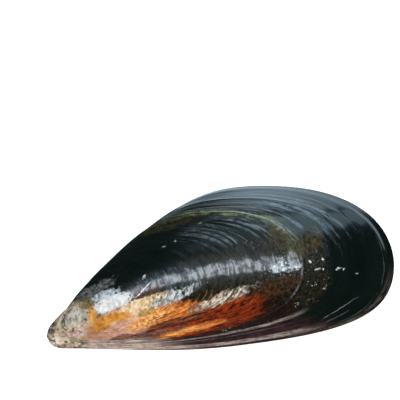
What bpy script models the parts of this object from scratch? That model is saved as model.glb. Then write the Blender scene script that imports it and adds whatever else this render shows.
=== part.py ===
"""A closed mussel shell: two hollow valves and the ligament that holds them, lying on the right valve.

Units are metres, +Z is up and +X runs from the beaks to the hind end. The shell is first made in its own
frame, where the two valves meet in the plane z = 0 and +Y is the hinge side, and is then laid down.
"""

import math

import bpy
import numpy as np
from mathutils import Euler, Matrix, Vector

MM = 0.001

# Driving dimensions of the shell.
LENGTH = 70.0 * MM
JOIN_GAP = 0.30 * MM
LIP_SHARE = 0.080
LIGAMENT_GAPE = 0.55 * MM
LIGAMENT_CLEARANCE = 0.30 * MM
LIGAMENT_WIDTH = 1.5 * MM
LIGAMENT_PROUD = 0.25 * MM
BYSSUS_GAPE = 0.22 * MM
REST_PATCH_DEPTH = 0.30 * MM

# Where the valves meet, as shares of the length: from the tip along the belly side, round the hind end
# and back along the hinge side.
MARGIN = (
    (0.000, 0.004), (0.012, -0.026), (0.060, -0.043), (0.220, -0.079), (0.420, -0.117), (0.640, -0.137),
    (0.840, -0.129), (0.955, -0.078), (1.002, 0.028), (0.970, 0.152), (0.850, 0.254), (0.690, 0.308),
    (0.530, 0.321), (0.370, 0.268), (0.190, 0.160), (0.070, 0.072), (0.014, 0.033),
)
BEAK = (0.028, 0.004)
MIDDLE = (0.520, 0.090)

# The rule of growth. Each growth line is the margin scaled by its age about the beak, turned up and round.
TURN_RATE = 0.62
TURN_MOST = 1.50
SWING = 0.12
BEAK_SOFTNESS = 0.030
BEAK_HEIGHT = 0.024
BEAK_SPREAD = 0.110

# Growth checks: the age at which each was laid down, and how far its ledge stands proud.
CHECKS = ((0.300, 0.10 * MM), (0.470, 0.12 * MM), (0.620, 0.14 * MM), (0.745, 0.22 * MM), (0.872, 0.14 * MM),
          (0.972, 0.22 * MM))
CHECK_RISE = 0.035
CHECK_DROP = 0.009

# How finely the faces follow the shape.
POINTS_ROUND = 46
PLAIN_AGES = (0.018, 0.045, 0.080, 0.120, 0.165, 0.215, 0.385, 0.540, 0.690, 0.815, 0.925)
INNER_AGES = (0.070, 0.110, 0.170, 0.250, 0.340, 0.440, 0.540, 0.640, 0.740, 0.830, 0.910, 0.965, 1.000)
LIGAMENT_STATIONS = 22
LIGAMENT_SIDES = 8

# How the closed shell lies when it is put down: turned about the long axis, then nose up.
REST_ROLL = math.radians(10.3)
REST_PITCH = math.radians(6.6)

VALVE_COLOUR = (0.020, 0.026, 0.030, 1.0)
LIGAMENT_COLOUR = (0.060, 0.028, 0.012, 1.0)


def clear_scene():
    for obj in list(bpy.data.objects):
        bpy.data.objects.remove(obj)


def smooth_step(value, low, high):
    """0 below low, 1 above high and a smooth rise between."""
    t = np.clip((value - low) / (high - low), 0.0, 1.0)
    return t * t * (3.0 - 2.0 * t)


def closed_spline(points, count):
    """Points on the smooth closed cubic curve through the given ones, evenly spaced in its parameter."""
    p = np.asarray(points, float)
    n = len(p)
    step = np.linalg.norm(np.roll(p, -1, axis=0) - p, axis=1) ** 0.6
    knots = np.concatenate([[0.0], np.cumsum(step)])
    matrix = np.zeros((n, n))
    slope = np.zeros_like(p)
    for i in range(n):
        before, after = step[i - 1], step[i]
        matrix[i, i - 1] += before / 6.0
        matrix[i, i] += (before + after) / 3.0
        matrix[i, (i + 1) % n] += after / 6.0
        slope[i] = (p[(i + 1) % n] - p[i]) / after - (p[i] - p[i - 1]) / before
    bend = np.linalg.solve(matrix, slope)
    u = np.arange(count) / count * knots[-1]
    k = np.clip(np.searchsorted(knots, u, side="right") - 1, 0, n - 1)
    nxt = (k + 1) % n
    h = step[k][:, None]
    a = (knots[k + 1] - u)[:, None] / h
    b = 1.0 - a
    return a * p[k] + b * p[nxt] + ((a**3 - a) * bend[k] + (b**3 - b) * bend[nxt]) * h**2 / 6.0


def grown(age, outline, beak_height):
    """One growth line: the outline (shares of the length) as it stood when the shell was this part of its size."""
    turn = TURN_MOST * (1.0 - age ** (TURN_RATE / TURN_MOST))
    swing = SWING * (1.0 - age)
    across = age * (outline[:, 0] - BEAK[0])
    up = age * (outline[:, 1] - BEAK[1])
    x = across * math.cos(swing) - up * math.sin(swing)
    y = across * math.sin(swing) + up * math.cos(swing)
    reach = (x + np.sqrt(x**2 + BEAK_SOFTNESS**2)) / 2.0
    dome = beak_height * math.sqrt(1.0 - age**2) * np.exp(-(x**2 + y**2) / BEAK_SPREAD**2)
    rise = reach * math.sin(turn) + dome
    return np.column_stack([BEAK[0] + x - reach * (1.0 - math.cos(turn)), BEAK[1] + y, rise])


def gape(outline):
    """How far the valve's edge stands back from the join, to leave room for the ligament and the byssus."""
    x, y = outline[:, 0], outline[:, 1]
    hinge_side = (y > 0.30 * x + 0.02).astype(float)
    ligament = smooth_step(x, 0.03, 0.07) * (1.0 - smooth_step(x, 0.41, 0.46))
    byssus = smooth_step(x, 0.16, 0.26) * (1.0 - smooth_step(x, 0.36, 0.46))
    return hinge_side * ligament * LIGAMENT_GAPE + (1.0 - hinge_side) * byssus * BYSSUS_GAPE


def ledge(age):
    """How far the surface stands proud at this age: a slow rise up to each growth check and a quick drop after."""
    height = 0.0
    for at, proud in CHECKS:
        rise = smooth_step(age, at - CHECK_RISE, at)
        drop = smooth_step(age, at, at + CHECK_DROP)
        height += proud * float(rise * (1.0 - drop))
    return height


def outer_ages():
    """The ages of the outer surface's growth lines, with three at each check so that its ledge is cut sharp."""
    ages = list(PLAIN_AGES)
    for at, _ in CHECKS:
        ages += [at - CHECK_RISE, at, at + CHECK_DROP]
    return sorted(ages) + [1.0]


def ring_normals(rings):
    """The outward directions of a stack of growth lines."""
    along = np.roll(rings, -1, axis=1) - np.roll(rings, 1, axis=1)
    outward = np.gradient(rings, axis=0)
    normal = np.cross(outward, along)
    return normal / np.maximum(np.linalg.norm(normal, axis=2, keepdims=True), 1e-12)


def outer_rings(outline):
    """The outer surface of the left valve, one growth line for each age, in metres."""
    ages = outer_ages()
    rings = np.array([grown(age, outline, BEAK_HEIGHT) for age in ages]) * LENGTH
    proud = np.array([ledge(age) for age in ages])
    away = smooth_step(np.hypot(outline[:, 0] - BEAK[0], outline[:, 1] - BEAK[1]), 0.05, 0.50)
    rings += ring_normals(rings) * proud[:, None, None] * away[None, :, None]
    lift = np.array([smooth_step(age, 0.80, 1.0) for age in ages])
    rings[:, :, 2] += lift[:, None] * gape(outline)[None, :]
    return rings


def inner_rings(outline):
    """The inner surface of the left valve, from the edge of the lip in to the hollow of the beak."""
    middle = np.array(MIDDLE)
    rings = []
    for age in INNER_AGES:
        share = 1.0 - LIP_SHARE / age**0.8
        ring = grown(age, middle + share * (outline - middle), BEAK_HEIGHT / 2.0) * LENGTH
        ring[:, 2] += smooth_step(age, 0.80, 1.0) * gape(outline)
        rings.append(ring)
    return np.array(rings)


def valve_mesh(name, side):
    """One hollow valve: outer surface, lip and inner surface. side is 1 for the left valve, -1 for the right."""
    outline = closed_spline(MARGIN, POINTS_ROUND)
    outer, inner = outer_rings(outline), inner_rings(outline)
    stack = np.concatenate([outer, inner[::-1]])
    beak_tip = outer[0].mean(axis=0)
    hollow_end = inner[0].mean(axis=0)
    points = np.concatenate([[beak_tip], stack.reshape(-1, 3), [hollow_end]])
    points[:, 2] = side * (points[:, 2] + JOIN_GAP / 2.0)
    n = POINTS_ROUND
    last = len(points) - 1
    faces = [(0, 1 + i, 1 + (i + 1) % n) for i in range(n)]
    for row in range(len(stack) - 1):
        a, b = 1 + row * n, 1 + (row + 1) * n
        faces += [(a + i, b + i, b + (i + 1) % n, a + (i + 1) % n) for i in range(n)]
    end = 1 + (len(stack) - 1) * n
    faces += [(end + i, last, end + (i + 1) % n) for i in range(n)]
    if side < 0:
        faces = [face[::-1] for face in faces]
    mesh = bpy.data.meshes.new(name)
    mesh.from_pydata([tuple(p) for p in points], [], faces)
    return mesh


def hinge_path():
    """The stretch of the hinge side that the ligament follows, from the beaks back."""
    outline = closed_spline(MARGIN, 600)
    x, y = outline[:, 0], outline[:, 1]
    on_hinge = (y > 0.30 * x + 0.02) & (x > 0.075) & (x < 0.405)
    path = outline[on_hinge]
    path = path[np.argsort(path[:, 0])]
    walked = np.concatenate([[0.0], np.cumsum(np.linalg.norm(np.diff(path, axis=0), axis=1))])
    wanted = np.linspace(0.0, walked[-1], LIGAMENT_STATIONS)
    return np.column_stack([np.interp(wanted, walked, path[:, 0]), np.interp(wanted, walked, path[:, 1])])


def ligament_mesh(name):
    """A band with an oval section between the two lips, tapered at both ends."""
    path = hinge_path() * LENGTH
    half_height = JOIN_GAP / 2.0 + LIGAMENT_GAPE - LIGAMENT_CLEARANCE
    points, faces = [], []
    tangents = np.gradient(path, axis=0)
    tangents /= np.linalg.norm(tangents, axis=1, keepdims=True)
    for i, (centre, tangent) in enumerate(zip(path, tangents)):
        outward = np.array([-tangent[1], tangent[0]])
        place = i / (LIGAMENT_STATIONS - 1)
        taper = 0.45 + 0.55 * math.sin(math.pi * place) ** 0.5
        for j in range(LIGAMENT_SIDES):
            turn = 2.0 * math.pi * j / LIGAMENT_SIDES
            offset = LIGAMENT_PROUD - LIGAMENT_WIDTH / 2.0 * (1.0 - math.cos(turn)) * taper
            spot = centre + outward * offset
            points.append((spot[0], spot[1], half_height * taper * math.sin(turn)))
    for i in range(LIGAMENT_STATIONS - 1):
        a, b = i * LIGAMENT_SIDES, (i + 1) * LIGAMENT_SIDES
        for j in range(LIGAMENT_SIDES):
            k = (j + 1) % LIGAMENT_SIDES
            faces.append((a + j, a + k, b + k, b + j))
    first = tuple(range(LIGAMENT_SIDES))
    last = tuple(range(len(points) - LIGAMENT_SIDES, len(points)))
    faces += [first[::-1], last]
    mesh = bpy.data.meshes.new(name)
    mesh.from_pydata(points, [], faces)
    return mesh


def principled(name, colour, roughness):
    material = bpy.data.materials.new(name)
    material.use_nodes = True
    shader = material.node_tree.nodes["Principled BSDF"]
    shader.inputs["Base Color"].default_value = colour
    shader.inputs["Roughness"].default_value = roughness
    shader.inputs["Metallic"].default_value = 0.0
    return material


def add_part(name, mesh, material, parent):
    mesh.materials.append(material)
    mesh.shade_smooth()
    mesh.set_sharp_from_angle(angle=math.radians(40.0))
    obj = bpy.data.objects.new(name, mesh)
    obj.parent = parent
    bpy.context.scene.collection.objects.link(obj)
    return obj


def flatten_underside(obj, turn):
    """Wears the lowest part of the lower valve flat, so that the shell rests on a small level patch."""
    heights = [(turn @ vertex.co).z for vertex in obj.data.vertices]
    level = min(heights) + REST_PATCH_DEPTH
    back = turn.inverted()
    for vertex, height in zip(obj.data.vertices, heights):
        if height < level:
            laid = turn @ vertex.co
            vertex.co = back @ Vector((laid.x, laid.y, level))


def lay_down(shell, parts, turn):
    """Puts the shell on the ground with the origin under the middle of its bounding box."""
    corners = np.array([turn @ vertex.co for part in parts for vertex in part.data.vertices])
    low, high = corners.min(axis=0), corners.max(axis=0)
    middle = (low + high) / 2.0
    shell.matrix_world = Matrix.Translation((-middle[0], -middle[1], -low[2])) @ turn


def main():
    clear_scene()
    shell = bpy.data.objects.new("shell", None)
    bpy.context.scene.collection.objects.link(shell)
    valve_skin = principled("valve_skin", VALVE_COLOUR, 0.18)
    ligament_skin = principled("ligament_skin", LIGAMENT_COLOUR, 0.45)
    left = add_part("left_valve", valve_mesh("left_valve", 1), valve_skin, shell)
    right = add_part("right_valve", valve_mesh("right_valve", -1), valve_skin, shell)
    ligament = add_part("ligament", ligament_mesh("ligament"), ligament_skin, shell)
    turn = (Euler((0.0, REST_PITCH, 0.0)).to_matrix() @ Euler((-REST_ROLL, 0.0, 0.0)).to_matrix()).to_4x4()
    flatten_underside(right, turn)
    lay_down(shell, (left, right, ligament), turn)


main()
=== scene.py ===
"""A closed mussel shell lying on its right valve, on a pale floor under soft studio light.

Lengths are metres in the row frame. The growth rule works in the shell's own frame, in shares of its length:
x from the beaks to the hind end, y towards the hinge side and z out of the plane where the valves meet.
"""

import logging
import math
from dataclasses import dataclass
from enum import Enum
from typing import Callable, Mapping, Sequence, Union

import bpy
import numpy as np
from mathutils import Matrix, Vector


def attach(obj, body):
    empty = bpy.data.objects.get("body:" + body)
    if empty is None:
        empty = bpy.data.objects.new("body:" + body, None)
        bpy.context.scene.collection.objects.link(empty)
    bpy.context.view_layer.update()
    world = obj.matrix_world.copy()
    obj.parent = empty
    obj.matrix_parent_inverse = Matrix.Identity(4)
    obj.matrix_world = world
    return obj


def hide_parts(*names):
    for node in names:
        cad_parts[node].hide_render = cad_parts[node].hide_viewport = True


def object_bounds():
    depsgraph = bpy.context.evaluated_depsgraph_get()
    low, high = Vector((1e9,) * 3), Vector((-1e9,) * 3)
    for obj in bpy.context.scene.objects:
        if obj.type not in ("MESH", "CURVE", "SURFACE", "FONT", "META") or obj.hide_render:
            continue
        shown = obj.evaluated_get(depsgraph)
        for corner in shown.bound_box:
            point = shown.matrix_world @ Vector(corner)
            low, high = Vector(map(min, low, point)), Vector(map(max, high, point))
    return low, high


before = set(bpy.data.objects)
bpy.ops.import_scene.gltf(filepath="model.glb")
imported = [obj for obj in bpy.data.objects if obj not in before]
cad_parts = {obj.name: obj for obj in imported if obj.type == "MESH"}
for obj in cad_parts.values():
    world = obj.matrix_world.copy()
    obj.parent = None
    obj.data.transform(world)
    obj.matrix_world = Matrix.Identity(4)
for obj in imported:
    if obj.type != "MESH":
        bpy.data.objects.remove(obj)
cad_low, cad_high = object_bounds()

log = logging.getLogger("mussel_shell")

Tone = tuple[int, int, int]
Colour = tuple[float, float, float, float]
Stretch = tuple[float, float]
Number = Union[float, "Field"]
Key = Union[str, int]
Settings = Mapping[str, object]
Links = Mapping[Key, object]


def tint(tone: Tone) -> Colour:
    """The scene colour of a screen tone.

    Args:
        tone: Red, green and blue, 0 to 255.

    Returns:
        The colour in linear light with an alpha of 1.
    """
    parts = [value / 255.0 for value in tone]
    light = [part / 12.92 if part <= 0.04045 else ((part + 0.055) / 1.055) ** 2.4 for part in parts]
    return (light[0], light[1], light[2], 1.0)


def operator(operation: str, reflected: bool = False) -> Callable[["Field", Number], "Field"]:
    """Makes a method that adds a Math node with two values.

    Args:
        operation: The node's operation.
        reflected: Whether the other value comes first.

    Returns:
        The method.
    """

    def method(self: "Field", other: Number) -> "Field":
        """Adds the Math node."""
        return self.math(operation, other, self) if reflected else self.math(operation, self, other)

    return method


class Field:
    """A value in a node tree. It wraps an output socket, and sums written on it add Math nodes."""

    def __init__(self, tree: "Tree", socket: bpy.types.NodeSocket) -> None:
        """Wraps an output socket of a tree."""
        self.tree = tree
        self.socket = socket

    def math(self, operation: str, *values: Number) -> "Field":
        """Adds one Math node with its values in order."""
        return self.tree.value("ShaderNodeMath", {"operation": operation}, dict(enumerate(values)))

    __add__, __radd__ = operator("ADD"), operator("ADD", True)
    __sub__, __rsub__ = operator("SUBTRACT"), operator("SUBTRACT", True)
    __mul__, __rmul__ = operator("MULTIPLY"), operator("MULTIPLY", True)
    __truediv__, __rtruediv__ = operator("DIVIDE"), operator("DIVIDE", True)
    __pow__, __rpow__ = operator("POWER"), operator("POWER", True)
    __gt__, __lt__ = operator("GREATER_THAN"), operator("LESS_THAN")
    least, most = operator("MINIMUM"), operator("MAXIMUM")

    def sine(self) -> "Field":
        """Sine of an angle in radians."""
        return self.math("SINE", self)

    def cosine(self) -> "Field":
        """Cosine of an angle in radians."""
        return self.math("COSINE", self)

    def root(self) -> "Field":
        """Square root, with nothing below zero."""
        return self.math("SQRT", self.most(0.0))

    def rounded(self) -> "Field":
        """Nearest whole number."""
        return self.math("ROUND", self)

    def rise(self, low: Number, high: Number) -> "Field":
        """A smooth step.

        Args:
            low: Where the step starts.
            high: Where the step ends. Below low, the step falls.

        Returns:
            0 before the step, 1 after it.
        """
        settings = {"interpolation_type": "SMOOTHSTEP", "clamp": False}
        links = {"Value": self, "From Min": low, "From Max": high, "To Min": 0.0, "To Max": 1.0}
        return self.tree.value("ShaderNodeMapRange", settings, links)

    def window(self, low: float, high: float, soft: float) -> "Field":
        """A smooth bump over a stretch of values.

        Args:
            low: Start of the stretch.
            high: End of the stretch.
            soft: Half the width of each edge.

        Returns:
            1 inside the stretch and 0 outside.
        """
        return self.rise(low - soft, low + soft) * self.rise(high + soft, high - soft)


class Tree:
    """A node tree that is being written."""

    def __init__(self, nodes: bpy.types.NodeTree) -> None:
        """Starts on a tree.

        Args:
            nodes: The tree. Its old nodes are removed.
        """
        self.tree = nodes
        self.tree.nodes.clear()

    def node(self, kind: str, settings: Settings | None = None, links: Links | None = None) -> bpy.types.Node:
        """Adds a node.

        Args:
            kind: The node's type.
            settings: Its settings, such as an operation, set first.
            links: A plain value or a Field for each input socket, by name or place.

        Returns:
            The node.
        """
        made = self.tree.nodes.new(kind)
        for name, setting in (settings or {}).items():
            setattr(made, name, setting)
        for key, value in (links or {}).items():
            socket = self.socket(made.inputs, key)
            if isinstance(value, Field):
                self.tree.links.new(value.socket, socket)
            else:
                socket.default_value = value
        return made

    @staticmethod
    def socket(sockets: Sequence[bpy.types.NodeSocket], key: Key) -> bpy.types.NodeSocket:
        """Finds a socket in use.

        Args:
            sockets: A node's inputs or outputs.
            key: The socket's name or its place.

        Returns:
            The socket.
        """
        if isinstance(key, int):
            return sockets[key]
        return next(socket for socket in sockets if socket.name == key and socket.enabled)

    def value(
        self, kind: str, settings: Settings | None = None, links: Links | None = None, output: Key = 0
    ) -> Field:
        """Adds a node and gives one of its outputs.

        Args:
            kind: The node's type.
            settings: Its settings.
            links: Its inputs.
            output: The output's name or place.

        Returns:
            The output.
        """
        return Field(self, self.socket(self.node(kind, settings, links).outputs, output))

    def vector(self, x: Number, y: Number, z: Number) -> Field:
        """A vector from its three parts."""
        return self.value("ShaderNodeCombineXYZ", links={"X": x, "Y": y, "Z": z})

    def parts(self, vector: Field) -> tuple[Field, Field, Field]:
        """The three parts of a vector."""
        made = self.node("ShaderNodeSeparateXYZ", links={0: vector})
        return tuple(Field(self, output) for output in made.outputs)

    def vectors(self, operation: str, links: Links, output: Key = 0) -> Field:
        """The result of a Vector Math node."""
        return self.value("ShaderNodeVectorMath", {"operation": operation}, links, output)

    def swept(self, turn: Field, width: Number, height: Number) -> Field:
        """A point on a cylinder, so that noise read there closes up round the shell."""
        return self.vector(turn.cosine() * width, turn.sine() * width, height)

    def placed(self, vector: Field, move: Sequence[float], scale: Sequence[float]) -> Field:
        """A vector that is scaled, then moved, by a Mapping node."""
        return self.value("ShaderNodeMapping", links={"Vector": vector, "Location": move, "Scale": scale})

    def noise(self, vector: Field, scale: float = 1.0, detail: float = 2.0, roughness: float = 0.5) -> Field:
        """Smooth noise.

        Args:
            vector: Where it is read.
            scale: How fine it is.
            detail: How many finer layers it has.
            roughness: How strong those layers are.

        Returns:
            The noise, from 0 to 1 with a middle of 0.5.
        """
        links = {"Vector": vector, "Scale": scale, "Detail": detail, "Roughness": roughness}
        return self.value("ShaderNodeTexNoise", {"noise_dimensions": "3D"}, links)

    def mix(self, share: Number, under: object, over: object, blend: str = "MIX") -> Field:
        """Lays one colour over another.

        Args:
            share: How much of the upper colour shows.
            under: The lower colour.
            over: The upper colour.
            blend: The blend type.

        Returns:
            The colour.
        """
        settings = {"data_type": "RGBA", "blend_type": blend, "clamp_factor": True}
        return self.value("ShaderNodeMix", settings, {"Factor": share, "A": under, "B": over}, "Result")

    def bumped(self, height: Field, distance: float, strength: float = 1.0) -> Field:
        """The normal of a surface with fine relief.

        Args:
            height: The relief, in shares of the distance.
            distance: The height of a full share in metres.
            strength: How much of it is used.

        Returns:
            The normal.
        """
        links = {"Strength": strength, "Distance": distance, "Height": height}
        return self.value("ShaderNodeBump", links=links, output="Normal")

    def glow(self, colour: object) -> Field:
        """An even light of a colour."""
        return self.value("ShaderNodeEmission", links={"Color": colour, "Strength": 1.0})

    def end(self, shader: Field) -> None:
        """Ends a material in a shader."""
        self.node("ShaderNodeOutputMaterial", links={"Surface": shader})

    def surface(self, looks: Links) -> Field:
        """A Principled shader with its looks."""
        return self.value("ShaderNodeBsdfPrincipled", links=looks)


def new_material(name: str) -> tuple[bpy.types.Material, Tree]:
    """Starts a material.

    Args:
        name: Its name.

    Returns:
        The material and its empty tree.
    """
    material = bpy.data.materials.new(name)
    material.use_nodes = True
    return material, Tree(material.node_tree)


def new_group(
    name: str, kind: str, takes: Mapping[str, str], gives: Mapping[str, str]
) -> tuple[Tree, dict[str, Field]]:
    """Starts a node group.

    Args:
        name: Its name.
        kind: Its type.
        takes: Its inputs, each with its socket type.
        gives: Its outputs, each with its socket type.

    Returns:
        The group's tree and its inputs by name.
    """
    group = bpy.data.node_groups.new(name, kind)
    for way, items in (("INPUT", takes), ("OUTPUT", gives)):
        for item, socket in items.items():
            group.interface.new_socket(item, in_out=way, socket_type="NodeSocket" + socket)
    t = Tree(group)
    given = t.node("NodeGroupInput")
    return t, {item: Field(t, given.outputs[item]) for item in takes}


def put(name: str, data: bpy.types.ID) -> bpy.types.Object:
    """Adds an object to the scene.

    Args:
        name: Its name.
        data: Its mesh, light or camera.

    Returns:
        The object.
    """
    made = bpy.data.objects.new(name, data)
    bpy.context.scene.collection.objects.link(made)
    return made


class Side(Enum):
    """The two valves, with the way each bulges out of the plane where they meet."""

    LEFT = 1
    RIGHT = -1


@dataclass(frozen=True)
class GrowthRule:
    """How the shell grew: each growth line is the margin scaled by its age about the beak, and turned.

    A check is a ledge where growth stopped: its age, its height, and how much of it fades on the hinge side.
    A ridge is noise: how wide it is read round the shell, its pace along the age, its start, its detail and
    its height. A stretch is where something rises, and a run is where it rises and where it falls again. The
    hinge line is a slope and a start, and the margin above it belongs to the hinge.
    """

    length: float = 0.070
    turn_rate: float = 0.62
    turn_most: float = 1.50
    swing: float = 0.12
    beak: tuple[float, float] = (0.028, 0.004)
    beak_softness: float = 0.030
    beak_height: float = 0.024
    beak_spread: float = 0.110
    middle: tuple[float, float] = (0.520, 0.090)
    lip_share: float = 0.080
    join_gap: float = 0.00030
    ligament_gape: float = 0.00055
    byssus_gape: float = 0.00022
    ridge_height: float = 0.000022
    checks: tuple[tuple[float, float, float], ...] = (
        (0.300, 0.00005, 0.0), (0.470, 0.00006, 0.0), (0.620, 0.00007, 0.0),
        (0.745, 0.00022, 0.0), (0.872, 0.00009, 0.0), (0.972, 0.00022, 0.8),
    )
    check_rise: float = 0.035
    check_drop: float = 0.009
    check_wander: float = 0.012
    ridges: tuple[tuple[float, ...], ...] = ((2.2, 62.0, 0.0, 2.0, 4.0), (1.6, 21.0, 7.0, 1.0, 7.0))
    relief_from_beak: Stretch = (0.05, 0.50)
    ridges_from_age: Stretch = (0.02, 0.25)
    smooth_edge: Stretch = (1.0, 0.975)
    gape_age: Stretch = (0.80, 1.0)
    ligament_run: tuple[Stretch, Stretch] = ((0.03, 0.07), (0.46, 0.41))
    byssus_run: tuple[Stretch, Stretch] = ((0.16, 0.26), (0.46, 0.36))
    hinge_side: Stretch = (0.50, 0.58)
    hinge_line: tuple[float, float] = (0.30, 0.02)
    margin: tuple[tuple[float, float], ...] = (
        (0.000, 0.004), (0.012, -0.026), (0.060, -0.043), (0.220, -0.079), (0.420, -0.117), (0.640, -0.137),
        (0.840, -0.129), (0.955, -0.078), (1.002, 0.028), (0.970, 0.152), (0.850, 0.254), (0.690, 0.308),
        (0.530, 0.321), (0.370, 0.268), (0.190, 0.160), (0.070, 0.072), (0.014, 0.033),
    )
    margin_points: int = 1200
    curve_points: int = 6000

    def outline(self) -> np.ndarray:
        """The margin as a smooth closed curve.

        Returns:
            Its points, evenly spaced along it, in shares of the length.
        """
        p = np.asarray(self.margin, float)
        n = len(p)
        step = np.linalg.norm(np.roll(p, -1, axis=0) - p, axis=1) ** 0.6
        knots = np.concatenate([[0.0], np.cumsum(step)])
        matrix, slope = np.zeros((n, n)), np.zeros_like(p)
        for i in range(n):
            before, after = step[i - 1], step[i]
            matrix[i, i - 1] += before / 6.0
            matrix[i, i] += (before + after) / 3.0
            matrix[i, (i + 1) % n] += after / 6.0
            slope[i] = (p[(i + 1) % n] - p[i]) / after - (p[i] - p[i - 1]) / before
        bend = np.linalg.solve(matrix, slope)
        u = np.arange(self.curve_points) / self.curve_points * knots[-1]
        k = np.clip(np.searchsorted(knots, u, side="right") - 1, 0, n - 1)
        nxt = (k + 1) % n
        h = step[k][:, None]
        a = (knots[k + 1] - u)[:, None] / h
        b = 1.0 - a
        fine = a * p[k] + b * p[nxt] + ((a**3 - a) * bend[k] + (b**3 - b) * bend[nxt]) * h**2 / 6.0
        closed = np.vstack([fine, fine[:1]])
        return self.spaced(closed, np.arange(self.margin_points) / self.margin_points)

    @staticmethod
    def spaced(line: np.ndarray, shares: np.ndarray) -> np.ndarray:
        """Points at given shares of the way along a line.

        Args:
            line: The line's own points.
            shares: The shares, 0 to 1.

        Returns:
            The points.
        """
        walked = np.concatenate([[0.0], np.cumsum(np.linalg.norm(np.diff(line, axis=0), axis=1))])
        wanted = shares * walked[-1]
        return np.column_stack([np.interp(wanted, walked, line[:, axis]) for axis in (0, 1)])


@dataclass(frozen=True)
class RestingPlace:
    """Where the shell's own frame lies in the row frame: rolled about its length, nose up, on the ground."""

    roll: float = math.radians(10.3)
    pitch: float = math.radians(6.6)
    at: tuple[float, float, float] = (-0.034819, -0.006337, 0.016792)

    def matrix(self) -> Matrix:
        """The shell frame's place as a matrix."""
        turn = Matrix.Rotation(self.pitch, 4, "Y") @ Matrix.Rotation(-self.roll, 4, "X")
        return Matrix.Translation(self.at) @ turn


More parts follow.
